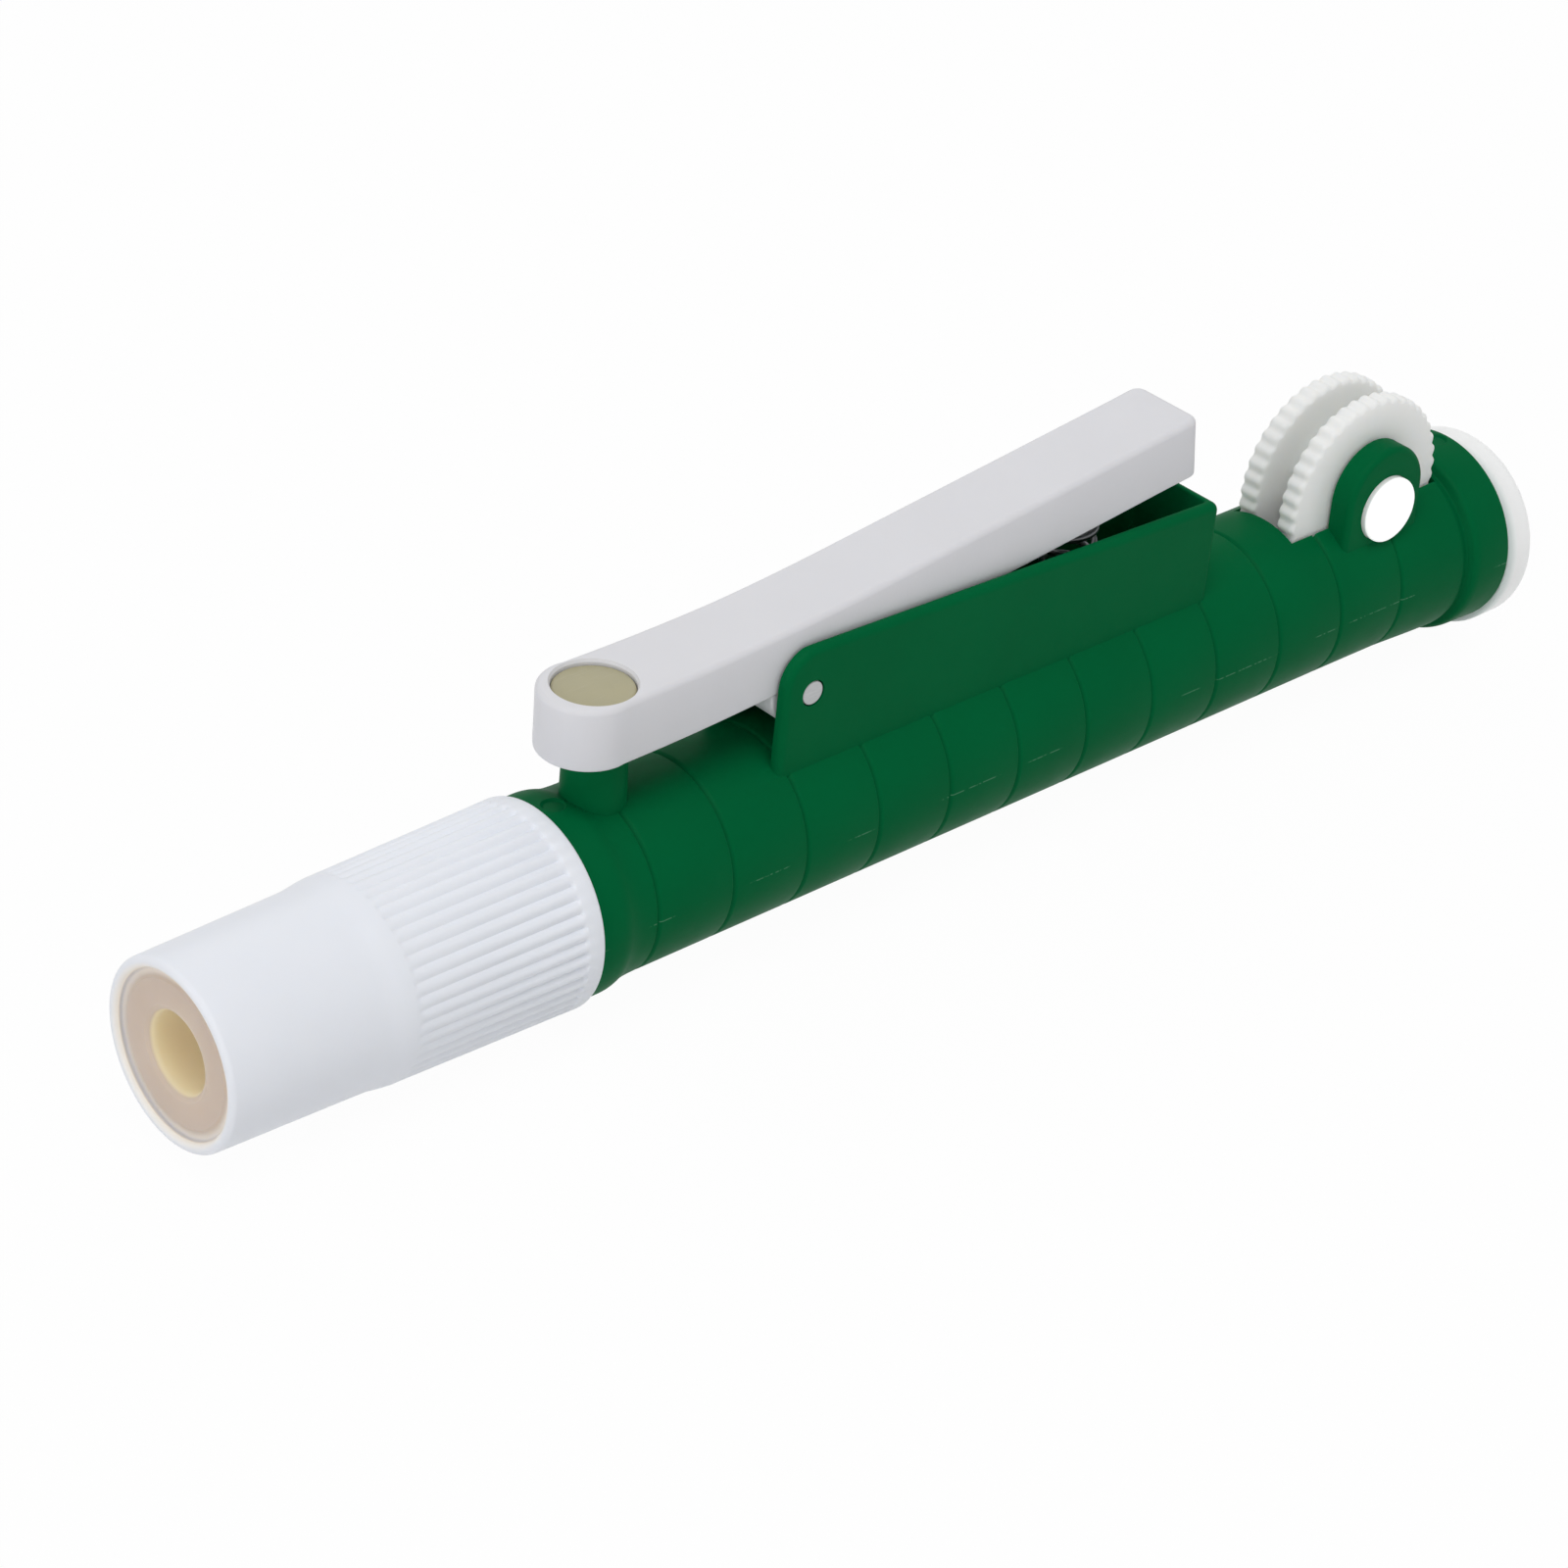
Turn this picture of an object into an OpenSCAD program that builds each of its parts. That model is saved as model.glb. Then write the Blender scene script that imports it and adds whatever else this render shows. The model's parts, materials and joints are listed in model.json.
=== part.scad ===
// Fast-release pipette filler: a thumbwheel drives a rack plunger in a ringed barrel,
// and a sprung lever lifts a pad off a vent tube to let the liquid drain.
// X runs along the barrel from the pipette mouth (0) to the thumb cap, Z is up, Y is across.
// All sizes are in millimetres.

/* [Barrel] */
// Outside diameter of the barrel
barrel_d = 19.5; // [17:0.1:24]
// Length of the barrel from the nose joint to the rear flange
barrel_len = 129; // [108:1:160]
// Thickness of the barrel wall
barrel_wall = 2.15; // [1.8:0.05:2.8]
// Number of shallow rings round the barrel
ring_count = 12; // [6:1:14]
// Extra radius of the front collar
collar_rise = 0.65; // [0.3:0.05:1.2]
// Extra radius of the rear flange
flange_rise = 1.2; // [0.7:0.05:1.4]

/* [Nose] */
// Length of the nose from its rim to the joint
nose_len = 42.5; // [36:0.5:52]
// Inside diameter of the nose at the mouth
mouth_d = 16.9; // [15:0.1:17.2]
// Diameter of the hole that grips the pipette
pipette_d = 8.1; // [6:0.1:9.8]
// Number of finger ribs round the nose
rib_count = 48; // [24:1:60]

/* [Release lever] */
// Width of the lever across the barrel
lever_w = 9.1; // [7.6:0.1:11]
// Thickness of the lever
lever_t = 6.7; // [5.6:0.1:8.5]
// Rise of the lever's rear half, in degrees
lever_bend = 6.6; // [5.5:0.1:8]
// Height of the lever's underside above the barrel
lever_gap = 5.95; // [5:0.05:7]
// Diameter of the silicone pad's rim
pad_d = 8.2; // [6.8:0.1:8.2]
// Diameter of the lever's pivot pin
pivot_d = 2.6; // [2:0.1:3.2]

/* [Thumbwheel] */
// Diameter of the two knurled discs
wheel_d = 22.1; // [19:0.1:25]
// Thickness of each disc
disc_t = 2.4; // [2:0.1:3]
// Space between the discs
disc_gap = 3.2; // [2.8:0.1:4]
// Number of notches round each disc
knurl_count = 42; // [30:1:54]
// Diameter of the journals that turn in the ears
journal_d = 7.4; // [6:0.1:8]
// Teeth on the drive pinion
pinion_teeth = 13; // [12:1:15]
// Tooth module of the pinion and the rack
gear_module = 0.8; // [0.7:0.05:0.9]

/* [Plunger] */
// Thickness of the web that carries the rack
web_t = 2.4; // [1.8:0.1:2.6]
// Thickness of the thumb cap
cap_t = 4.7; // [3:0.1:6]
// Length of the piston
piston_len = 12; // [10:0.5:14]

/* [Hidden] */
$fn = 96;
eps = 0.01;
slide_gap = 0.08;   // radial clearance of the piston in the bore
run_gap = 0.05;     // radial clearance of a shaft that turns
seat_gap = 0.06;    // radial clearance of parts that are pushed together
body_gap = 0.3;     // space between soft parts on different bodies

// barrel, along X
rim_out = 0.6;                        // how far the nose rim stands ahead of the insert
barrel_r = barrel_d / 2;
bore_r = barrel_r - barrel_wall;
x_joint = nose_len - rim_out;
x_end = x_joint + barrel_len;
collar_r = barrel_r + collar_rise;
flange_r = barrel_r + flange_rise;
collar_len = 3.4;
flange_len = 5.6;
flare_rise = 0.35;                    // swelling of the barrel just ahead of the flange
x_chamber = x_joint + 4.6;            // front wall of the chamber
x_ring0 = x_joint + 7.4;
ring_pitch = (barrel_len - 23.7) / (ring_count - 1);
ring_cut_r = 0.3;

// nose, its insert and the spigot it sits on
spigot_len = 12;
spigot_r = barrel_r - 1.2;
nose_front_r = barrel_r - 0.1;
nose_waist_r = barrel_r + 0.27;       // end of the plain cone, ahead of the flare to the ribs
nose_mid_r = barrel_r + 0.65;
nose_rear_r = barrel_r + 1.12;
x_ribs = 0.48 * x_joint;
x_waist = x_ribs - 4;
rib_lip = 2;
rib_depth = 0.4;
rib_cut_r = 0.55;
mouth_r = mouth_d / 2;
insert_len = x_joint - spigot_len - 3.1;
web_x = insert_len + 0.2;
nose_seal_r = 0.83;

// lever channel on top of the barrel
wall_t = 1.15;
channel_in = lever_w / 2 + 0.3;
channel_out = channel_in + wall_t;
x_wall = x_joint + 0.199 * barrel_len;
wall_len = 0.465 * barrel_len;
wall_fall = 2;                        // degrees that the wall tops drop to the rear
z_wall = barrel_r + 11.35;
wall_corner = 4;

// lever
z_under = barrel_r + lever_gap;
lever_r = lever_w / 2;
head_r = lever_r + 0.45;
x_pad = x_joint + 6.2;
x_head = x_pad - 0.7;
x_bend = x_wall - 1.6;
bend_half = x_bend - x_head - 3.5;    // half the length over which the lever bends
x_lever_end = x_wall + wall_len - 2.8;
x_pivot = x_wall + 3.5;
z_pivot = z_under + 0.3;
boss_r = pivot_d / 2 + 2.7;
lever_rise = (x_lever_end - x_bend) * tan(lever_bend);
x_spring = x_lever_end - 13.2;
spring_seat_z = z_under + (x_spring - x_bend) * tan(lever_bend) + 0.4;
pad_stem_r = pad_d / 2 - 0.65;
pad_top_z = z_under + lever_t - 0.5;
pad_low_z = z_under - 0.5;
x_vent = x_pad + 0.6;
nipple_r = 3.25;
nipple_top = pad_low_z - body_gap;

// spring
spring_r = 2.6;
wire_r = 0.35;
spring_turns = 6;
z_floor = barrel_r + 0.15;

// thumbwheel and rack
pitch_r = pinion_teeth * gear_module / 2;
pressure_angle = 25;
backlash = 0.16;
tooth_pitch = PI * gear_module;
z_rack = bore_r - 2.1;                // pitch line of the rack
x_wheel = x_end - 17.8;
z_wheel = z_rack + pitch_r;
wheel_r = wheel_d / 2;
disc_in = disc_gap / 2;
disc_out = disc_in + disc_t;
slot_half = disc_out + 0.3;
slot_len = 2 * wheel_r + 0.7;
ear_t = 2.7;
ear_out = slot_half + ear_t;
ear_r = journal_d / 2 + 2.05;
ear_lift = 1.2;                       // height of the ear's arch centre above the axle
journal_out = ear_out + 1;
core_r = 1.5;

// plunger
piston_r = bore_r - slide_gap;
x_piston = x_chamber + 3.6;
seal_r = 0.9;
seal_mid_r = bore_r - 0.04 - seal_r;
groove_r = seal_mid_r - seal_r - 0.02;
x_seals = [x_piston + 2.6, x_piston + piston_len - 3.4];
stem_r = 2.2;
stem_len = 6;
x_rod = x_piston + piston_len;
rod_r = bore_r - 0.15;
rod_flange = 3;
rod_top = z_wheel - wheel_r - 0.65;
rod_wall = 1.5;
cap_r = flange_r - 0.1;
cap_drop = 0.9;                       // how far the cap's centre lies below the barrel's
cap_gap = 0.1;
x_cap = x_end + cap_gap;
cap_socket = 1.6;
x_slot = x_wheel - slot_len / 2;
stroke = x_slot - x_rod - 17.5;       // travel of the plunger

// ---- shared shapes -------------------------------------------------------

// A cylinder along +X from x0 to x1, or a cone when a second radius is given.
module rod_x(x0, x1, r, r2 = -1)
    translate([x0, 0, 0])
        rotate([0, 90, 0])
            cylinder(h = x1 - x0, r1 = r, r2 = r2 < 0 ? r : r2);

// A cylinder along Y, centred at (x, z), from y0 to y1.
module rod_y(x, z, y0, y1, r)
    translate([x, y1, z])
        rotate([90, 0, 0])
            cylinder(h = y1 - y0, r = r);

// A body turned about the X axis from points given as [radius, x].
module turned(points)
    rotate([0, 90, 0])
        rotate_extrude()
            polygon(points);

// A ring of round section about the X axis.
module ring_x(x, r, section_r)
    translate([x, 0, 0])
        rotate([0, 90, 0])
            rotate_extrude()
                translate([r, 0])
                    circle(r = section_r, $fn = 32);

// A box given by its two opposite corners.
module block(low, high)
    translate(low)
        cube(high - low);

// Points of a smooth S-shaped run from [r0, x0] to [r1, x1].
function ease(r0, x0, r1, x1, n = 8) =
    [for (i = [0:n]) [r0 + (r1 - r0) * (1 - cos(180 * i / n)) / 2, x0 + (x1 - x0) * i / n]];

// Points of an arc of radius r about c from angle a0 to a1.
function arc(c, r, a0, a1, n = 6) =
    [for (i = [0:n]) let (a = a0 + (a1 - a0) * i / n) c + r * [cos(a), sin(a)]];

// ---- barrel ---------------------------------------------------------------

module barrel_tube() {
    difference() {
        turned(concat(
            [[0, x_joint - spigot_len], [spigot_r - 0.4, x_joint - spigot_len],
             [spigot_r, x_joint - spigot_len + 0.4], [spigot_r, x_joint], [collar_r - 0.3, x_joint],
             [collar_r, x_joint + 0.3]],
            ease(collar_r, x_joint + collar_len, barrel_r, x_joint + 6.4),
            ease(barrel_r, x_end - 19, barrel_r + flare_rise, x_end - flange_len - 0.5, 6),
            [[barrel_r + flare_rise - 0.15, x_end - flange_len - 0.1],
             [flange_r - 0.3, x_end - flange_len + 0.3], [flange_r - 0.15, x_end - flange_len + 0.9],
             [flange_r, x_end - 0.4],
             [flange_r - 0.4, x_end], [0, x_end]]));
        difference() {
            for (i = [0:ring_count - 1])
                ring_x(x_ring0 + i * ring_pitch, barrel_r + 0.1, ring_cut_r);
            block([x_wall - 0.4, -channel_in - wall_t / 2, 0],
                [x_wall + wall_len - 0.6, channel_in + wall_t / 2, barrel_r + 1]);
        }
        ring_x(x_joint - 6, spigot_r - 0.72, nose_seal_r + 0.03);
        for (mark = [[x_joint + 1.9, collar_r], [x_end - 1.8, flange_r]])
            translate([mark[0], 0, mark[1] - 0.2])
                cylinder(h = 2, r = 1.25);
    }
}

// The trough that the lever drops into: two walls and a rear wall with rounded tops.
module lever_channel() {
    depth = z_wall - barrel_r + 4;
    translate([x_wall, 0, z_wall])
        rotate([0, wall_fall, 0])
            difference() {
                union() {
                    block([0, -channel_out, -depth], [wall_len - wall_t, channel_out, -wall_t]);
                    block([0, -channel_in, -depth], [wall_len, channel_in, -wall_t]);
                    block([0, -channel_in, -wall_t - eps], [wall_len - wall_t, channel_in, 0]);
                    for (s = [-1, 1]) {
                        translate([0, s * channel_in, -wall_t])
                            rod_x(0, wall_len - wall_t, wall_t);
                        translate([wall_len - wall_t, s * channel_in, -depth])
                            cylinder(h = depth - wall_t, r = wall_t);
                        translate([wall_len - wall_t, s * channel_in, -wall_t])
                            sphere(r = wall_t);
                    }
                    rod_y(wall_len - wall_t, -wall_t, -channel_in, channel_in, wall_t);
                }
                block([-1, -channel_in, -depth - 1], [wall_len - wall_t, channel_in, 1]);
                difference() {
                    block([-1, -channel_out - 1, -wall_corner], [wall_corner, channel_out + 1, 1]);
                    rod_y(wall_corner, -wall_corner, -channel_out - 2, channel_out + 2, wall_corner);
                }
            }
}

module barrel() {
    color([0.02, 0.33, 0.19])
        difference() {
            union() {
                barrel_tube();
                lever_channel();
                translate([x_vent, 0, bore_r + 0.5])
                    cylinder(h = nipple_top - bore_r - 0.5, r1 = nipple_r + 0.1, r2 = nipple_r - 0.1);
                for (s = [-1, 1])
                    mirror([0, s < 0 ? 1 : 0, 0]) {
                        rod_y(x_wheel, z_wheel + ear_lift, slot_half, ear_out, ear_r);
                        block([x_wheel - ear_r, slot_half, barrel_r / 2],
                            [x_wheel + ear_r, ear_out, z_wheel + ear_lift]);
                    }
                translate([x_spring, 0, barrel_r - 1])
                    cylinder(h = 3.2, r = spring_r - wire_r - 0.3);
            }
            rod_x(x_chamber, x_end + 1, bore_r);
            rod_x(x_end - 0.6, x_end + 0.1, bore_r, bore_r + 0.6);
            rod_x(x_joint - spigot_len - 1, x_chamber + 1, 2.5);
            translate([x_vent, 0, 0])
                cylinder(h = nipple_top + 1, r = 1.3);
            block([x_slot, -slot_half, 0],
                [x_slot + slot_len, slot_half, z_wheel + ear_lift + ear_r + 1]);
            rod_y(x_wheel, z_wheel, -ear_out - 1, ear_out + 1, journal_d / 2 + run_gap);
            rod_y(x_pivot, z_pivot, -channel_out - 1, channel_out + 1, pivot_d / 2);
        }
}

// ---- nose -----------------------------------------------------------------

function nose_surface(x) =
    nose_mid_r + (nose_rear_r - nose_mid_r) * (x - x_ribs) / (x_joint - x_ribs);

module rib_cuts() {
    x0 = x_ribs - 0.6;
    x1 = x_joint - rib_lip;
    r0 = nose_surface(x0) + rib_cut_r;
    r1 = nose_surface(x1) + rib_cut_r - rib_depth;
    for (i = [0:rib_count - 1])
        rotate([360 * i / rib_count, 0, 0])
            translate([x0, 0, r0])
                rotate([0, 90 - atan((r1 - r0) / (x1 - x0)), 0])
                    cylinder(h = norm([x1 - x0, r1 - r0]), r = rib_cut_r, $fn = 24);
}

module chuck_nose() {
    rim_r = 0.55;
    color([0.9, 0.9, 0.92])
        difference() {
            turned(concat(
                [[0, -rim_out]],
                arc([nose_front_r - rim_r, -rim_out + rim_r], rim_r, -90, 0),
                ease(nose_waist_r, x_waist, nose_mid_r, x_ribs, 6),
                [[nose_rear_r, x_joint - 0.3], [nose_rear_r - 0.3, x_joint], [0, x_joint]]));
            rib_cuts();
            rod_x(-rim_out - 1, web_x, mouth_r);
            rod_x(web_x - 1, x_joint, 3.5);
            rod_x(x_joint - spigot_len - 0.2, x_joint + 1, spigot_r + 0.15);
        }
}

module chuck_insert() {
    color([0.78, 0.7, 0.6])
        difference() {
            rod_x(0, insert_len, mouth_r - seat_gap);
            rod_x(-1, insert_len - 4.8, pipette_d / 2);
            rod_x(-1, insert_len + 1, 1.8);
        }
}

module nose_seal() {
    color([0.08, 0.08, 0.09])
        ring_x(x_joint - 6, spigot_r - 0.72, nose_seal_r);
}

// ---- lever ----------------------------------------------------------------

// Height that a point of the bent lever stands above the straight front part.
function bend_rise(x) =
    let (t = max(0, min(1, (x - x_bend + bend_half) / (2 * bend_half))))
    tan(lever_bend) * (x > x_bend + bend_half ? x - x_bend : bend_half * t * t);

// Side outline of the lever, with its rear end square to the raised half.
module lever_side() {
    steps = 10;
    lean = lever_t / 2 * tan(lever_bend);
    xs = concat([x_head], [for (i = [0:steps]) x_bend + bend_half * (2 * i / steps - 1)]);
    function edge(x, up) = [x, z_under + up + bend_rise(x)];
    under = concat([for (x = xs) edge(x, 0)], [edge(x_lever_end + lean, 0)]);
    over = concat([edge(x_lever_end - lean, lever_t)],
        [for (i = [len(xs) - 1:-1:0]) edge(xs[i], lever_t)]);
    rotate([90, 0, 0])
        linear_extrude(height = 2 * head_r, center = true)
            polygon(concat(under, over));
}

// Plan outline of the lever, which narrows from the head to the channel.
module lever_plan() {
    half = [[x_head, head_r - 0.1], [x_wall - 1, lever_r], [x_lever_end + 2, lever_r]];
    translate([0, 0, z_under - 1])
        linear_extrude(height = lever_t + lever_rise + 4)
            polygon(concat(half, [for (i = [2:-1:0]) [half[i][0], -half[i][1]]]));
}

// A pocket in the underside that leaves the top this thick.
module lever_pocket(x0, x1, roof) {
    half = lever_r - 1.5;
    run = x1 - x0;
    translate([x0, 0, z_under + bend_rise(x0)])
        rotate([0, -atan((bend_rise(x1) - bend_rise(x0)) / run), 0])
            block([0, -half, -2], [run, half, lever_t - roof]);
}

module release_lever() {
    color([0.84, 0.84, 0.86])
        difference() {
            union() {
                difference() {
                    union() {
                        intersection() {
                            lever_side();
                            lever_plan();
                        }
                        translate([x_head, 0, z_under])
                            cylinder(h = lever_t, r = head_r);
                    }
                    lever_pocket(x_pad + pad_d / 2 + 1.6, x_pivot - boss_r - 0.5, 1.8);
                    lever_pocket(x_pivot + boss_r + 1, x_spring - 5.5, 1.8);
                    lever_pocket(x_spring + 4.2, x_lever_end - 1.6, 1.8);
                }
                rod_y(x_pivot, z_pivot, -channel_in + 0.5, channel_in - 0.5, boss_r);
                translate([x_spring, 0, spring_seat_z - 3.2])
                    cylinder(h = 4, r = spring_r - wire_r - 0.4);
            }
            rod_y(x_pivot, z_pivot, -lever_w, lever_w, pivot_d / 2 + run_gap);
            translate([x_pad, 0, z_under - 1])
                cylinder(h = lever_t + 2, r = pad_stem_r + seat_gap);
            translate([x_pad, 0, pad_top_z - 1.8])
                cylinder(h = lever_t, r = pad_d / 2 + seat_gap);
            translate([x_pad, 0, z_under + lever_t - 0.45])
                cylinder(h = 0.46, r1 = pad_d / 2 + seat_gap, r2 = pad_d / 2 + 0.45);
        }
}

module lever_pad() {
    color([0.64, 0.61, 0.51]) {
        translate([x_pad, 0, pad_low_z])
            cylinder(h = pad_top_z - pad_low_z - 1, r = pad_stem_r);
        translate([x_pad, 0, pad_top_z - 1.8])
            cylinder(h = 1.8, r = pad_d / 2);
    }
}

module lever_pin() {
    color([0.75, 0.76, 0.77])
        rod_y(x_pivot, z_pivot, -channel_out + 0.05, channel_out - 0.05, pivot_d / 2);
}

// Coil spring as a swept ring of points, closed at both ends.
module lever_spring() {
    per_turn = 20;
    sides = 8;
    n = spring_turns * per_turn;
    z0 = z_floor + wire_r;
    z1 = spring_seat_z - wire_r - 0.15;
    function coil(i, j) =
        let (a = 360 * i / per_turn, b = 360 * j / sides, r = spring_r + wire_r * cos(b))
        [x_spring + r * cos(a), r * sin(a), z0 + (z1 - z0) * i / n + wire_r * sin(b)];
    points = [for (i = [0:n], j = [0:sides - 1]) coil(i, j)];
    function at(i, j) = i * sides + (j % sides);
    skin = [for (i = [0:n - 1], j = [0:sides - 1], k = [0, 1])
        k == 0 ? [at(i, j), at(i, j + 1), at(i + 1, j + 1)]
               : [at(i, j), at(i + 1, j + 1), at(i + 1, j)]];
    ends = [[for (j = [sides - 1:-1:0]) at(0, j)], [for (j = [0:sides - 1]) at(n, j)]];
    color([0.7, 0.7, 0.72])
        polyhedron(points = points, faces = concat(skin, ends));
}

// ---- thumbwheel -----------------------------------------------------------

// A knurled disc with the journal that turns in an ear, drawn on the +Y side.
module wheel_disc() {
    difference() {
        union() {
            rod_y(x_wheel, z_wheel, disc_in, disc_out, wheel_r);
            rod_y(x_wheel, z_wheel, disc_out - eps, journal_out, journal_d / 2);
        }
        for (i = [0:knurl_count - 1])
            translate([x_wheel, 0, z_wheel])
                rotate([0, 360 * i / knurl_count, 0])
                    rod_y(0, wheel_r + 0.2, disc_in - 1, disc_out + 1, 0.5, $fn = 24);
        rod_y(x_wheel, z_wheel, 0, journal_out - 1.2, core_r);
    }
}

module wheel_disc_near()
    color([0.81, 0.81, 0.82])
        mirror([0, 1, 0])
            wheel_disc();

module wheel_disc_far()
    color([0.81, 0.81, 0.82])
        wheel_disc();

// Angle between the start of an involute and radius r, in degrees.
function involute(base, r) = let (a = acos(min(1, base / r))) tan(a) * 180 / PI - a;

module drive_pinion() {
    base = pitch_r * cos(pressure_angle);
    tip = pitch_r + gear_module;
    root = pitch_r - 1.25 * gear_module;
    slack = backlash / 4 / pitch_r * 180 / PI;
    at_pitch = 90 / pinion_teeth - slack + involute(base, pitch_r);
    steps = 5;
    radii = [for (i = [0:steps]) max(base, root) + (tip - max(base, root)) * i / steps];
    function half(r) = at_pitch - involute(base, r);
    function polar(r, a) = r * [cos(a), sin(a)];
    outline = [for (k = [0:pinion_teeth - 1])
        let (c = 360 * k / pinion_teeth - 90)
        each concat(
            [polar(root, c - half(radii[0]))],
            [for (r = radii) polar(r, c - half(r))],
            [for (i = [steps:-1:0]) polar(radii[i], c + half(radii[i]))],
            [polar(root, c + half(radii[0]))])];
    color([0.8, 0.8, 0.81])
        difference() {
            translate([x_wheel, 0, z_wheel])
                rotate([90, 0, 0])
                    linear_extrude(height = disc_gap, center = true)
                        polygon(outline);
            rod_y(x_wheel, z_wheel, -disc_gap, disc_gap, core_r);
        }
}

module wheel_core_pin() {
    reach = journal_out - 1.3;
    color([0.7, 0.7, 0.72])
        rod_y(x_wheel, z_wheel, -reach, reach, core_r);
}

// ---- plunger --------------------------------------------------------------

// Straight-sided rack teeth along the top of the web, with a gap under the pinion's centre.
module rack_web() {
    tip_z = z_rack + gear_module;
    root_z = z_rack - 1.25 * gear_module;
    count = ceil((stroke + 14) / tooth_pitch);
    tip_half = tooth_pitch / 4 - gear_module * tan(pressure_angle) - backlash / 4;
    root_half = tooth_pitch / 4 + 1.25 * gear_module * tan(pressure_angle) - backlash / 4;
    x_last = x_wheel + 2.5 * tooth_pitch;
    teeth = [for (i = [count - 1:-1:0])
        let (c = x_last - (count - 1 - i) * tooth_pitch)
        each [[c + root_half, root_z], [c + tip_half, tip_z],
              [c - tip_half, tip_z], [c - root_half, root_z]]];
    x_web_end = x_cap + cap_socket;
    rotate([90, 0, 0])
        linear_extrude(height = web_t, center = true)
            polygon(concat(
                [[x_rod + 1, -rod_r + 1], [x_web_end, -rod_r + 1], [x_web_end, root_z]],
                teeth,
                [[x_rod + 1, root_z]]));
}

module plunger_rod() {
    color([0.86, 0.86, 0.87])
        difference() {
            union() {
                difference() {
                    rod_x(x_rod, x_cap + cap_socket, rod_r);
                    rod_x(x_rod + rod_flange, x_cap + cap_socket + 1, rod_r - rod_wall);
                    block([x_rod + rod_flange, -rod_r - 1, rod_top],
                        [x_cap + cap_socket + 1, rod_r + 1, rod_r + 1]);
                }
                rack_web();
            }
            rod_x(x_rod - 1, x_rod + stem_len + 0.2, stem_r + 0.02);
        }
}

module plunger_cap() {
    round_r = 1.4;
    color([0.74, 0.78, 0.77])
        difference() {
            translate([0, 0, -cap_drop])
                turned(concat(
                    [[0, x_cap], [cap_r - 0.3, x_cap], [cap_r, x_cap + 0.3]],
                    arc([cap_r - round_r, x_cap + cap_t - round_r], round_r, 0, 90),
                    [[0, x_cap + cap_t]]));
            difference() {
                rod_x(x_cap - 1, x_cap + cap_socket + 0.05, rod_r + seat_gap);
                rod_x(x_cap - 1, x_cap + cap_socket + 1, rod_r - rod_wall - seat_gap);
                block([x_cap - 2, -rod_r - 1, rod_top + 0.1],
                    [x_cap + cap_socket + 2, rod_r + 1, rod_r + 1]);
            }
            block([x_cap - 1, -web_t / 2 - seat_gap, -rod_r + 0.5],
                [x_cap + cap_socket + 0.05, web_t / 2 + seat_gap, z_rack + 0.1]);
        }
}

module piston_head() {
    color([0.86, 0.86, 0.87])
        difference() {
            union() {
                turned([[0, x_piston], [piston_r - 0.4, x_piston], [piston_r, x_piston + 0.4],
                        [piston_r, x_rod], [0, x_rod]]);
                rod_x(x_rod - eps, x_rod + stem_len, stem_r);
            }
            for (x = x_seals)
                difference() {
                    rod_x(x - seal_r - 0.02, x + seal_r + 0.02, bore_r + 1);
                    rod_x(x - seal_r - 1, x + seal_r + 1, groove_r);
                }
        }
}

module piston_seal(x)
    color([0.08, 0.08, 0.09])
        ring_x(x, seal_mid_r, seal_r);

module piston_seal_front() piston_seal(x_seals[0]);

module piston_seal_rear() piston_seal(x_seals[1]);

// ---- one line for each named piece ------------------------------------------

barrel();
chuck_nose();
chuck_insert();
nose_seal();
release_lever();
lever_pad();
lever_pin();
lever_spring();
wheel_disc_near();
wheel_disc_far();
drive_pinion();
wheel_core_pin();
plunger_rod();
plunger_cap();
piston_head();
piston_seal_front();
piston_seal_rear();
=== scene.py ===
import json
import math

import bmesh
import bpy
from mathutils import Matrix, Vector


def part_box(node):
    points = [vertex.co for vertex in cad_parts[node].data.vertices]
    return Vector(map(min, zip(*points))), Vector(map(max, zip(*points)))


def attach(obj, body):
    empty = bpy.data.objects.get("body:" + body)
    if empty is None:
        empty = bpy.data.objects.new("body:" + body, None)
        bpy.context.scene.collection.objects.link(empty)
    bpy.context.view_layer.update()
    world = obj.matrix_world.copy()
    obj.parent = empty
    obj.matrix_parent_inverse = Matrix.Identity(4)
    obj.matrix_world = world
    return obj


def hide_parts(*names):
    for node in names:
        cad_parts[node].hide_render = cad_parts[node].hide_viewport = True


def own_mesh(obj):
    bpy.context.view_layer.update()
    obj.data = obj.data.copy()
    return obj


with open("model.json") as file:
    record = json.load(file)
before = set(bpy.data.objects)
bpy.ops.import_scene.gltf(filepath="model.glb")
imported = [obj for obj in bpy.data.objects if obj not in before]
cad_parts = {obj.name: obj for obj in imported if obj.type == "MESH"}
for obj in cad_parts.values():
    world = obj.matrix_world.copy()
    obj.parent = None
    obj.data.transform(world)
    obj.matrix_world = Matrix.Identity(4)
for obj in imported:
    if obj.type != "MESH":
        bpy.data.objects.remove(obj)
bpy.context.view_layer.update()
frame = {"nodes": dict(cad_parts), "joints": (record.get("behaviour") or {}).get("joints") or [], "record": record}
MM = 0.001


# ---- the frame's measures, in millimetres -------------------------------------

def box_mm(node):
    low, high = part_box(node)
    return low / MM, high / MM


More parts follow.
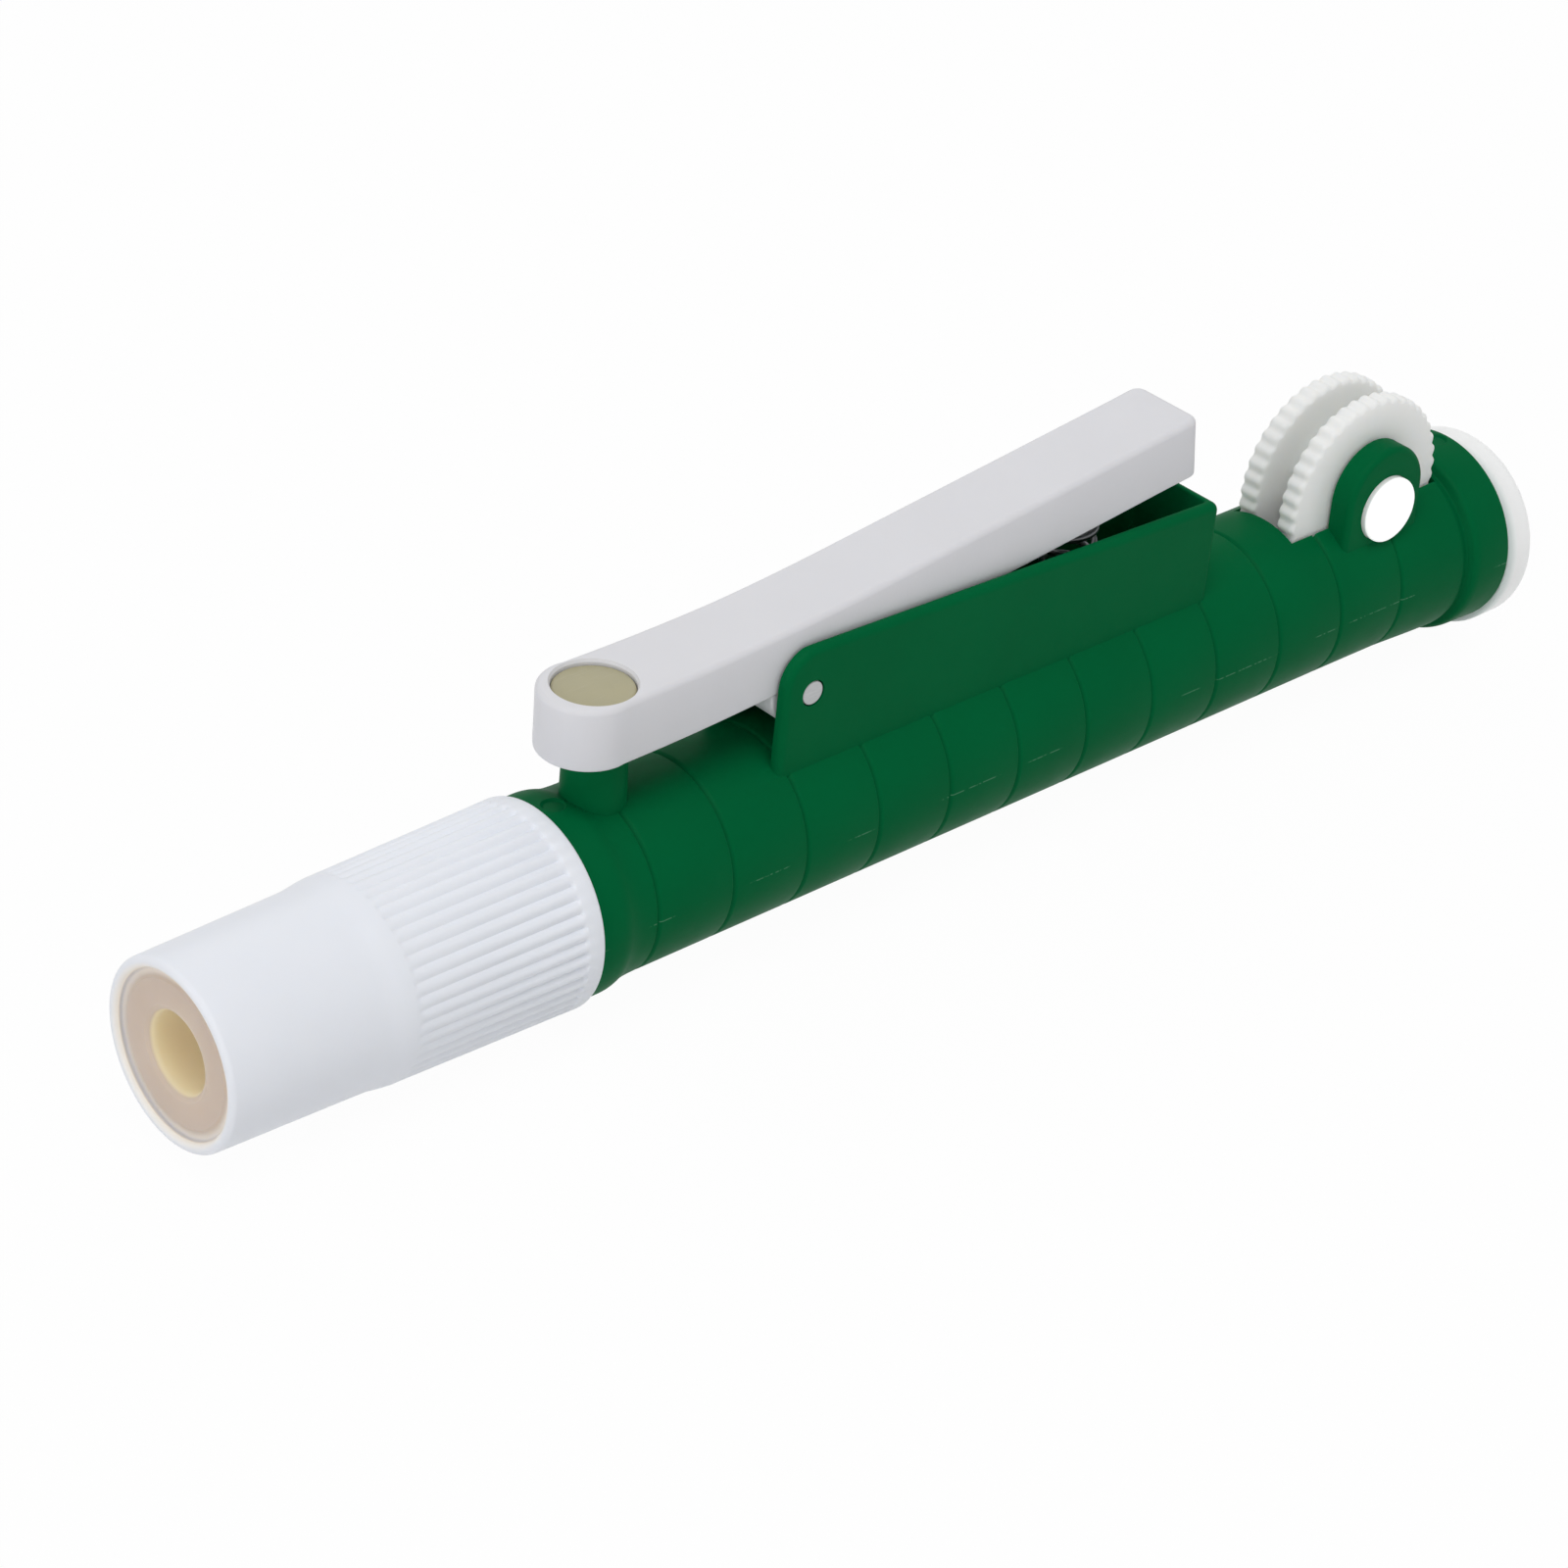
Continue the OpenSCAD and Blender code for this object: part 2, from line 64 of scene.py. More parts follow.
joints = {j["name"]: j for j in frame["joints"]}
nose_low, nose_high = box_mm("chuck_nose")
insert_high = box_mm("chuck_insert")[1]
barrel_low, barrel_high = box_mm("barrel")
lever_high = box_mm("release_lever")[1]
pad_low, pad_high = box_mm("lever_pad")
pin_low, pin_high = box_mm("lever_pin")
disc_low, disc_high = box_mm("wheel_disc_far")
cap_low, cap_high = box_mm("plunger_cap")
spring_low, spring_high = box_mm("lever_spring")
wheel_at = Vector(joints["wheel_spin"]["pos_m"]) / MM
pivot_at = Vector(joints["lever_pivot"]["pos_m"]) / MM
pipette_r = frame["record"]["mounts"][0]["dims"]["r_mm"]

x_joint = nose_high.x
x_end = barrel_high.x
flange_r = -barrel_low.z
barrel_r = flange_r - 1.2
bore_r = barrel_r - 2.15
x_pad = (pad_low.x + pad_high.x) / 2
x_head = x_pad - 0.7
x_vent = x_pad + 0.6
spring_x = (spring_low.x + spring_high.x) / 2
wheel_r = (disc_high.x - disc_low.x) / 2 + 0.28


# ---- shaping --------------------------------------------------------------------

def outline(corners, segments=5):
    """A closed flat outline from (x, y, corner radius) corners, with the corners rounded."""
    bm = bmesh.new()
    points = [(bm.verts.new((c[0], c[1], 0)), c[2] if len(c) > 2 else 0) for c in corners]
    bm.faces.new([v for v, _ in points])
    for radius in sorted({r for _, r in points if r > 0}):
        bmesh.ops.bevel(bm, geom=[v for v, r in points if r == radius], offset=radius, offset_type="OFFSET",
                        segments=segments, profile=0.5, affect="VERTICES", clamp_overlap=True, material=-1)
    return bm


def turned(corners, steps=128, segments=5):
    """A body turned about X from a closed outline of (x, radius, corner radius) corners."""
    bm = outline(corners, segments)
    bmesh.ops.delete(bm, geom=bm.faces[:], context="FACES_ONLY")
    bmesh.ops.spin(bm, geom=bm.verts[:] + bm.edges[:], cent=(0, 0, 0), axis=(1, 0, 0), dvec=(0, 0, 0),
                   angle=2 * math.pi, steps=steps, use_merge=True, use_normal_flip=False, use_duplicate=False)
    return tidy(bm)


def tidy(bm, near=0.0005):
    """Doubles merged, loose edges gone and faces turned outward."""
    bmesh.ops.remove_doubles(bm, verts=bm.verts[:], dist=near)
    bmesh.ops.dissolve_degenerate(bm, edges=bm.edges[:], dist=near / 2)
    loose = [e for e in bm.edges if not e.link_faces]
    bmesh.ops.delete(bm, geom=loose, context="EDGES")
    bmesh.ops.recalc_face_normals(bm, faces=bm.faces[:])
    return bm


def raised(bm, height):
    """A flat outline in XY pulled up into a solid of this height."""
    grown = bmesh.ops.extrude_face_region(bm, geom=bm.faces[:])
    tops = [v for v in grown["geom"] if isinstance(v, bmesh.types.BMVert)]
    bmesh.ops.translate(bm, verts=tops, vec=(0, 0, height))
    return tidy(bm)


def soften(bm, chosen, radius, segments=3):
    """The chosen edges rounded."""
    bmesh.ops.bevel(bm, geom=[e for e in bm.edges if chosen(e)], offset=radius, offset_type="OFFSET",
                    segments=segments, profile=0.5, affect="EDGES", clamp_overlap=True, material=-1)
    return bm


def along_y(bm, x=0, z=0, side=1):
    """Moves a body turned about X so that it turns about Y, at (x, z), its start towards -Y or +Y."""
    bmesh.ops.transform(bm, matrix=Matrix.Rotation(side * math.pi / 2, 4, "Z"), verts=bm.verts[:])
    bmesh.ops.translate(bm, verts=bm.verts[:], vec=(x, 0, z))
    return bm


def along_z(bm, x=0, y=0):
    """Moves a body turned about X so that it stands on Z at (x, y)."""
    bmesh.ops.transform(bm, matrix=Matrix.Rotation(-math.pi / 2, 4, "Y"), verts=bm.verts[:])
    bmesh.ops.translate(bm, verts=bm.verts[:], vec=(x, y, 0))
    return bm


def side_plate(corners, y0, y1, segments=6):
    """A plate drawn in side view by (x, z, corner radius), between two Y places."""
    bm = raised(outline(corners, segments), y1 - y0)
    bmesh.ops.transform(bm, matrix=Matrix.Rotation(math.pi / 2, 4, "X"), verts=bm.verts[:])
    bmesh.ops.translate(bm, verts=bm.verts[:], vec=(0, y1, 0))
    bmesh.ops.recalc_face_normals(bm, faces=bm.faces[:])
    return bm


def block(low, high):
    """A box between two corners."""
    bm = bmesh.new()
    bmesh.ops.create_cube(bm, size=1)
    size = [h - l for l, h in zip(low, high)]
    bmesh.ops.scale(bm, vec=size, verts=bm.verts[:])
    bmesh.ops.translate(bm, verts=bm.verts[:], vec=[(l + h) / 2 for l, h in zip(low, high)])
    return bm


def as_object(bm, name):
    mesh = bpy.data.meshes.new(name)
    bm.to_mesh(mesh)
    bm.free()
    piece = bpy.data.objects.new(name, mesh)
    bpy.context.scene.collection.objects.link(piece)
    return piece


def combine(piece, bm, how):
    """Joins or cuts a solid into the piece: how is UNION or DIFFERENCE."""
    tool = as_object(bm, "tool")
    step = piece.modifiers.new("step", "BOOLEAN")
    step.object = tool
    step.operation = how
    step.solver = "EXACT"
    bpy.context.view_layer.update()
    shaped = bpy.data.meshes.new_from_object(piece.evaluated_get(bpy.context.evaluated_depsgraph_get()))
    piece.modifiers.clear()
    bm = bmesh.new()
    bm.from_mesh(shaped)
    bmesh.ops.remove_doubles(bm, verts=bm.verts[:], dist=0.0008)
    bmesh.ops.dissolve_degenerate(bm, edges=bm.edges[:], dist=0.0004)
    bm.to_mesh(shaped)
    bm.free()
    old = piece.data
    piece.data = shaped
    bpy.data.meshes.remove(old)
    old = tool.data
    bpy.data.objects.remove(tool)
    bpy.data.meshes.remove(old)
    return piece


def place(piece, body, nodes, finish, smooth=35):
    """Millimetres to metres, shading, finish, and the body that the piece rides on."""
    mesh = piece.data
    mesh.transform(Matrix.Scale(MM, 4))
    mesh.polygons.foreach_set("use_smooth", [True] * len(mesh.polygons))
    mesh.set_sharp_from_angle(angle=math.radians(smooth))
    mesh.materials.clear()
    mesh.materials.append(finish)
    mesh.update()
    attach(piece, body)
    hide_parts(*nodes)
    return piece


# ---- shader expressions -----------------------------------------------------------

class Value:
    """A socket that can stand in a sum, such as 1 - mask * 0.5."""

    def __init__(self, finish, socket):
        self.finish = finish
        self.socket = socket

    def math(self, operation, *others):
        terms = {i: t for i, t in enumerate((self,) + others)}
        return self.finish.node("Math", {"operation": operation}, terms)

    def __add__(self, other):
        return self.math("ADD", other)

    def __sub__(self, other):
        return self.math("SUBTRACT", other)

    def __mul__(self, other):
        return self.math("MULTIPLY", other)

    def __rsub__(self, other):
        return self.finish.node("Math", {"operation": "SUBTRACT"}, {0: other, 1: self})

    def below(self, edge, soft):
        """1 where this is under the edge, falling to 0 over the soft width."""
        return self.finish.node("MapRange", {"interpolation_type": "SMOOTHSTEP"}, {
            "Value": self, "From Min": edge - soft, "From Max": edge + soft, "To Min": 1.0, "To Max": 0.0})


class Finish:
    """One material, built by expressions; node() adds any node."""

    def __init__(self, name):
        self.material = bpy.data.materials.new(name)
        self.material.use_nodes = True
        self.tree = self.material.node_tree
        self.tree.nodes.clear()
        self.place = self.node("TexCoord", out="Object")

    def node(self, kind, settings=None, inputs=None, out=0):
        made = self.tree.nodes.new("ShaderNode" + kind)
        for name, value in (settings or {}).items():
            if name == "stops":
                self.set_stops(made.color_ramp, value)
            else:
                setattr(made, name, value)
        for name, value in (inputs or {}).items():
            if isinstance(value, Value):
                self.tree.links.new(value.socket, made.inputs[name])
            else:
                made.inputs[name].default_value = value
        return Value(self, made.outputs[out]) if made.outputs else None

    def set_stops(self, ramp, stops):
        while len(ramp.elements) < len(stops):
            ramp.elements.new(1.0)
        for element, (position, colour) in zip(ramp.elements, stops):
            element.position = position
            element.color = colour

    def axes(self):
        split = self.node("SeparateXYZ", inputs={0: self.place})
        made = split.socket.node
        return [Value(self, made.outputs[i]) for i in range(3)]

    def noise(self, scale, detail=2.0, stretch=None):
        where = self.place
        if stretch:
            where = self.node("Mapping", inputs={"Vector": self.place, "Scale": stretch})
        return self.node("TexNoise", inputs={"Vector": where, "Scale": scale, "Detail": detail, "Roughness": 0.5})

    def blend(self, first, second, factor):
        return self.node("Mix", {"data_type": "RGBA"}, {0: factor, 6: first, 7: second}, out=2)

    def bump(self, height, distance, strength=1.0):
        return self.node("Bump", inputs={"Height": height, "Distance": distance, "Strength": strength})

    def specks(self, scale, size, share):
        """Sparse round specks: 1 inside a speck."""
        cell = self.node("TexVoronoi", inputs={"Vector": self.place, "Scale": scale})
        made = cell.socket.node
        pick = self.node("SeparateColor", inputs={0: Value(self, made.outputs["Color"])})
        chosen = pick.below(share, 0.001)
        return Value(self, made.outputs["Distance"]).below(size * scale, size * scale * 0.4) * chosen

    def done(self, **inputs):
        shader = self.node("BsdfPrincipled", inputs={k.replace("_", " "): v for k, v in inputs.items()})
        self.node("OutputMaterial", inputs={"Surface": shader})
        return self.material


def rgb(r, g, b):
    """An 8-bit display colour as the linear colour that a shader takes."""
    def linear(c):
        c /= 255
        return c / 12.92 if c <= 0.04045 else ((c + 0.055) / 1.055) ** 2.4
    return (linear(r), linear(g), linear(b), 1.0)


def toned(colour, share):
    return tuple(c * share for c in colour[:3]) + (1.0,)


# ---- finishes -------------------------------------------------------------------

NO_GLOW = (0, 0, 0, 1)


def green_plastic():
    f = Finish("green_plastic")
    z = f.axes()[2]
    base = rgb(0, 97, 54)
    colour = f.blend(toned(base, 0.9), toned(base, 1.08), f.noise(90, 3))
    dust = f.specks(170, 0.00011, 0.16)
    dashes = f.noise(1, 1, stretch=(190, 30, 30)).below(0.47, 0.04)
    seam = z.math("ABSOLUTE").below(0.00006, 0.00004) * dashes * f.noise(2500, 1).below(0.55, 0.08)
    marks = (dust + seam * 0.3).math("MINIMUM", 0.7)
    colour = f.blend(colour, rgb(130, 180, 150), marks)
    rough = f.noise(400, 3) * 0.12 + 0.4
    height = f.noise(2600, 2) * 0.5 + f.noise(700, 2) * 0.5
    return f.done(Base_Color=colour, Roughness=rough, Normal=f.bump(height, 0.000035, 0.5), IOR=1.45,
                  Specular_IOR_Level=0.03,
                  Subsurface_Weight=0.08, Subsurface_Scale=0.002, Subsurface_Radius=(0.15, 1.0, 0.4))


def white_plastic(name, colour, spread=0.025, rough=0.42, mouth_bounce_tint=None, glow=0.2, depth=0.0015, ends=None):
    f = Finish(name)
    tone = f.blend(toned(colour, 1 - spread), toned(colour, 1 + spread), f.noise(70, 3))
    tone = f.blend(tone, rgb(95, 92, 88), f.specks(110, 0.0001, 0.05) * 0.7)
    lit = {}
    # Painted light in the nose's mouth: the inner rim wall is tinted warm as painted bounce light from the tan
    # insert, and given a faint painted glow that lifts its shade.
    if mouth_bounce_tint:
        x, y, z = f.axes()
        radius = (y * y + z * z).math("SQRT")
        mouth = x.below(0.004, 0.002) * radius.below(0.0088, 0.0004)
        tone = f.blend(tone, mouth_bounce_tint, mouth * 0.8)
        lit = {"Emission_Color": f.blend(NO_GLOW, (0.08, 0.076, 0.07, 1), mouth), "Emission_Strength": 1.0}
    # Painted light on the axle ends: past this |y| the wheel glows grey-white, a painted brightness that makes the
    # journal ends look strongly lit.
    if ends:
        y = f.axes()[1]
        outside = 1 - y.math("ABSOLUTE").below(ends * MM, 0.0001)
        lit = {"Emission_Color": f.blend(NO_GLOW, (0.5, 0.5, 0.5, 1), outside), "Emission_Strength": 1.0}
    height = f.noise(2400, 2) * 0.5 + f.noise(800, 2) * 0.5
    return f.done(Base_Color=tone, Roughness=f.noise(350, 2) * 0.12 + rough - 0.06, IOR=1.45,
                  Specular_IOR_Level=0.25, Normal=f.bump(height, 0.00003, 0.5),
                  Subsurface_Weight=glow, Subsurface_Scale=depth, Subsurface_Radius=(1.0, 0.9, 0.8), **lit)


def insert_silicone():
    f = Finish("insert_silicone")
    y, z = f.axes()[1:]
    radius = (y * y + z * z).math("SQRT")
    # Painted light in the bore: the hole is painted lighter and yellower and given a faint painted glow, standing in
    # for light that passes through the silicone.
    lit_hole_mask = radius.below(0.00425, 0.00012)
    face = f.blend(rgb(214, 197, 184), rgb(204, 187, 173), f.noise(160, 3))
    # Painted light at the outer curl: the ring next to the nose's rim is painted lighter and given a painted glow,
    # lifting the shade that the rim casts.
    edge = radius.below(0.0078, 0.0006)
    lip = radius.below(0.0079, 0.0004)
    face = f.blend(rgb(238, 228, 216), face, edge)
    tone = f.blend(face, rgb(228, 212, 180), lit_hole_mask)
    dust = f.specks(400, 0.00007, 0.06)
    tone = f.blend(tone, rgb(120, 104, 82), dust * 0.6)
    painted_rim_glow = f.blend((0.13, 0.115, 0.1, 1), NO_GLOW, lip)
    glow = f.blend(painted_rim_glow, (0.08, 0.08, 0.06, 1), lit_hole_mask)
    return f.done(Base_Color=tone, Roughness=f.noise(300, 3) * 0.15 + 0.4, IOR=1.42,
                  Specular_IOR_Level=0.2, Normal=f.bump(f.noise(900, 3), 0.00004, 0.4),
                  Emission_Color=glow, Emission_Strength=1.0,
                  Subsurface_Weight=0.8, Subsurface_Scale=0.006, Subsurface_Radius=(1.0, 0.85, 0.6))


def pad_silicone():
    f = Finish("pad_silicone")
    tone = f.blend(rgb(178, 171, 137), rgb(164, 159, 130), f.noise(220, 3))
    lines = f.noise(1, 2, stretch=(300, 5200, 300)).below(0.36, 0.05)
    tone = f.blend(tone, rgb(182, 176, 150), lines * 0.25)
    tone = f.blend(tone, rgb(110, 102, 74), f.specks(500, 0.00007, 0.08) * 0.6)
    return f.done(Base_Color=tone, Roughness=f.noise(400, 2) * 0.14 + 0.38, IOR=1.42,
                  Normal=f.bump(f.noise(700, 3), 0.00004, 0.4),
                  Subsurface_Weight=0.3, Subsurface_Scale=0.002, Subsurface_Radius=(1.0, 0.9, 0.6))


def cap_plastic():
    f = Finish("cap_plastic")
    x = f.axes()[0]
    tone = f.blend(rgb(243, 246, 245), rgb(252, 253, 253), f.noise(120, 3))
    # Painted reflection: the cap's front edge next to the flange is tinted green-grey as a reflection of the green
    # flange.
    flange_reflection_mask = x.below((cap_low.x + 0.9) * MM, 0.0009)
    tone = f.blend(tone, rgb(188, 204, 200), flange_reflection_mask * 0.8)
    # The cap is given a faint white painted glow that brightens it as if more strongly lit.
    return f.done(Base_Color=tone, Roughness=f.noise(300, 2) * 0.1 + 0.3, IOR=1.46, Specular_IOR_Level=0.3,
                  Emission_Color=(1, 1, 1, 1), Emission_Strength=0.07,
                  Normal=f.bump(f.noise(900, 2), 0.00003, 0.4),
                  Subsurface_Weight=0.6, Subsurface_Scale=0.004, Subsurface_Radius=(1.0, 1.0, 1.0))


def seal_rubber():
    f = Finish("seal_rubber")
    tone = f.blend(rgb(26, 26, 28), rgb(38, 38, 40), f.noise(300, 3))
    return f.done(Base_Color=tone, Roughness=f.noise(500, 2) * 0.15 + 0.4,
                  Normal=f.bump(f.noise(1500, 2), 0.00003, 0.4))


def steel(name, tone_low, tone_high, metal, stretch):
    f = Finish(name)
    scratch = f.noise(1, 3, stretch=stretch)
    tone = f.blend(tone_low, tone_high, scratch)
    return f.done(Base_Color=tone, Metallic=metal, Roughness=scratch * 0.2 + 0.28,
                  Normal=f.bump(scratch, 0.00002, 0.4))


green = green_plastic()
# The nose's mouth gets a painted warm bounce light and a painted glow.
nose_white = white_plastic("nose_plastic", rgb(237, 240, 247), mouth_bounce_tint=rgb(240, 234, 222))
lever_white = white_plastic("lever_plastic", rgb(222, 222, 226))
# The wheel's axle ends (ends=) get a painted glow.
wheel_white = white_plastic("wheel_plastic", rgb(248, 249, 246), glow=0.5, depth=0.003, ends=disc_high.y - 0.5)
rod_white = white_plastic("rod_plastic", rgb(226, 226, 229))
insert_tan = insert_silicone()
pad_olive = pad_silicone()
cap_clear = cap_plastic()
black_rubber = seal_rubber()
pin_metal = steel("pin_metal", rgb(176, 178, 180), rgb(205, 206, 207), 0.4, (900, 300, 5000))
wire_metal = steel("wire_metal", rgb(120, 122, 125), rgb(185, 187, 190), 1.0, (600, 600, 600))


# ---- barrel ---------------------------------------------------------------------

wall_fall = math.radians(2)
channel_in = 4.85
channel_out = pin_high.y + 0.05
wall_x0 = 67.571
wall_len = 59.985
wall_top = 21.1
ring_start = x_joint + 7.4
ring_count = 12
ring_step = (x_end - x_joint - 23.7) / (ring_count - 1)
slot_half = 4.3
slot_x0 = wheel_at.x - 11.4
slot_x1 = wheel_at.x + 11.4
journal_out = disc_high.y
ear_out = journal_out - 1.0
ear_r = 5.75
ear_lift = 1.2
collar_r = barrel_r + 0.65


def swell(x):
    """How far the barrel swells out just ahead of the flange."""
    t = min(1, max(0, (x - x_end + 19) / 12.9))
    return 0.35 * (1 - math.cos(math.pi * t)) / 2


def barrel_outline():
    """Corners of the tube from the spigot to the flange, outside then back along the axis."""
    spigot_r = barrel_r - 1.2
    run = [(x_joint - 12, 0), (x_joint - 12, spigot_r, 0.4), (x_joint, spigot_r), (x_joint, collar_r, 0.25),
           (x_joint + 3.2, collar_r, 0.6), (x_joint + 4.6, barrel_r + 0.16, 0.7), (x_joint + 6.4, barrel_r, 0.7)]
    for i in range(ring_count):
        x = ring_start + i * ring_step
        r = barrel_r + swell(x)
        run += [(x - 0.2, r, 0.06), (x - 0.08, r - 0.26), (x + 0.04, r - 0.26), (x + 0.42, r, 0.14)]
    run += [(x, barrel_r + swell(x)) for x in (x_end - 13.5 + 1.1 * i for i in range(7))]
    x, r = x_end - 5.6, barrel_r + 0.35
    run += [(x - 1.0, r, 0.3), (x - 0.5, r - 0.3, 0.2), (x - 0.05, r - 0.3, 0.15), (x + 0.3, flange_r - 0.3, 0.3),
            (x + 1.0, flange_r - 0.12, 0.2), (x_end, flange_r, 0.35), (x_end, 0)]
    return run


def channel_block():
    """The two walls and the rear wall round the lever, as one block with soft outer edges."""
    foot = 6.2
    bm = side_plate([(0, foot - wall_top), (wall_len, foot - wall_top), (wall_len, 0, 1.0), (0, 0, 4.0)],
                    -channel_out, channel_out, 10)

    def outer(e):
        a, b = e.verts
        on_side = abs(abs(a.co.y) - channel_out) < 1e-4 and abs(abs(b.co.y) - channel_out) < 1e-4
        same = a.co.y * b.co.y > 0
        low = min(a.co.z, b.co.z) < foot - wall_top + 0.01 and max(a.co.z, b.co.z) < foot - wall_top + 0.01
        return on_side and same and not low
    soften(bm, outer, 0.85, 6)
    bmesh.ops.rotate(bm, verts=bm.verts[:], cent=(0, 0, 0), matrix=Matrix.Rotation(wall_fall, 3, "Y"))
    bmesh.ops.translate(bm, verts=bm.verts[:], vec=(wall_x0, 0, wall_top))
    return tidy(bm)


def channel_room():
    """The room between the walls, its mouth flared a little so that their inner edges are soft."""
    wide, back, depth, height = channel_in, wall_len - 1.15, 18, 40
    bm = raised(outline([(-6, -wide), (back, -wide, 0.5), (back, wide, 0.5), (-6, wide)], 4), height)
    lips = ((-0.25, 0), (-0.14, 0.03), (-0.05, 0.09), (0, 0.18), (0.2, 0.4))
    for level, grow in ((depth + up, grow) for up, grow in lips):
        cut = bmesh.ops.bisect_plane(bm, geom=bm.verts[:] + bm.edges[:] + bm.faces[:], dist=1e-5,
                                     plane_co=(0, 0, level), plane_no=(0, 0, 1))
        for v in cut["geom_cut"]:
            if isinstance(v, bmesh.types.BMVert):
                v.co.y += math.copysign(grow, v.co.y)
                if v.co.x > 0:
                    v.co.x += grow
    for v in bm.verts:
        if v.co.z > height - 10:
            v.co.y += math.copysign(0.4, v.co.y)
            if v.co.x > 0:
                v.co.x += 0.4
    bmesh.ops.translate(bm, verts=bm.verts[:], vec=(0, 0, -depth))
    bmesh.ops.rotate(bm, verts=bm.verts[:], cent=(0, 0, 0), matrix=Matrix.Rotation(wall_fall, 3, "Y"))
    bmesh.ops.translate(bm, verts=bm.verts[:], vec=(wall_x0, 0, wall_top))
    return bm


def ear(side):
    """A rounded ear that carries one end of the thumbwheel."""
    x, z = wheel_at.x, wheel_at.z
    y0, y1 = sorted((side * (slot_half - 0.5), side * ear_out))
    top = z + ear_lift + ear_r
    bm = outline([(x - ear_r, 4.6), (x + ear_r, 4.6), (x + ear_r, top, ear_r), (x - ear_r, top, ear_r)], 18)
    raised(bm, y1 - y0)
    bmesh.ops.transform(bm, matrix=Matrix.Rotation(math.pi / 2, 4, "X"), verts=bm.verts[:])
    bmesh.ops.translate(bm, verts=bm.verts[:], vec=(0, y1, 0))
    tidy(bm)

    def rim(e):
        a, b = e.verts
        return (abs(abs(a.co.y) - ear_out) < 1e-4 and abs(abs(b.co.y) - ear_out) < 1e-4
                and max(a.co.z, b.co.z) > 4.7)
    return soften(bm, rim, 0.7, 6)


def make_barrel():
    tube = as_object(turned(barrel_outline(), 160, 3), "barrel_shell")
    channel = as_object(channel_block(), "walls")
    combine(channel, channel_room(), "DIFFERENCE")
    walls = bmesh.new()
    walls.from_mesh(channel.data)
    bpy.data.objects.remove(channel)
    combine(tube, walls, "UNION")
    vent = turned([(barrel_r - 2, 0), (barrel_r - 2, 3.3), (barrel_r - 0.05, 3.3), (14.9, 3.18, 0.15), (14.9, 0)], 64)
    combine(tube, along_z(vent, x_vent), "UNION")
    post = turned([(barrel_r - 1, 0), (barrel_r - 1, 1.95), (barrel_r + 2.2, 1.95, 0.4), (barrel_r + 2.2, 0)], 48)
    combine(tube, along_z(post, spring_x), "UNION")
    for side in (-1, 1):
        combine(tube, ear(side), "UNION")
    bore = turned([(x_joint + 4.6, 0), (x_joint + 4.6, bore_r), (x_end - 0.6, bore_r), (x_end + 0.1, bore_r + 0.6),
                   (x_end + 2, bore_r + 0.6), (x_end + 2, 0)], 128)
    combine(tube, bore, "DIFFERENCE")
    combine(tube, turned([(x_joint - 14, 0), (x_joint - 14, 2.5), (x_joint + 5, 2.5), (x_joint + 5, 0)], 48),
            "DIFFERENCE")
    combine(tube, along_z(turned([(0, 0), (0, 1.3), (20, 1.3), (20, 0)], 48), x_vent), "DIFFERENCE")
    combine(tube, block((slot_x0, -slot_half, 0), (slot_x1, slot_half, 30)), "DIFFERENCE")
    combine(tube, along_y(turned([(-9, 0), (-9, 3.75), (9, 3.75), (9, 0)], 96), wheel_at.x, wheel_at.z), "DIFFERENCE")
    combine(tube, along_y(turned([(-9, 0), (-9, 1.42), (9, 1.42), (9, 0)], 64), pivot_at.x, pivot_at.z), "DIFFERENCE")
    for x, r in ((x_joint + 1.9, collar_r), (x_end - 1.8, flange_r)):
        mark = turned([(r - 0.28, 0), (r - 0.28, 1.0), (r, 1.3), (14, 1.3), (14, 0)], 48)
        combine(tube, along_z(mark, x), "DIFFERENCE")
    return place(tube, "barrel", ["barrel"], green, 32)


# ---- nose -----------------------------------------------------------------------

rib_count = 48
x_ribs = 20.1
rib_end = x_joint - 2.0
x_waist = x_ribs - 4.0
nose_r0, waist_r, nose_r1, nose_r2 = barrel_r - 0.1, barrel_r + 0.27, barrel_r + 0.65, barrel_r + 1.12


def nose_r(x):
    """The nose's outer radius at x: a straight cone, a soft rise to the ribs, then a slow flare."""
    if x < x_waist:
        return nose_r0 + (waist_r - nose_r0) * x / x_waist
    if x < x_ribs:
        return waist_r + (nose_r1 - waist_r) * (1 - math.cos(math.pi * (x - x_waist) / (x_ribs - x_waist))) / 2
    return nose_r1 + (nose_r2 - nose_r1) * (x - x_ribs) / (x_joint - x_ribs)


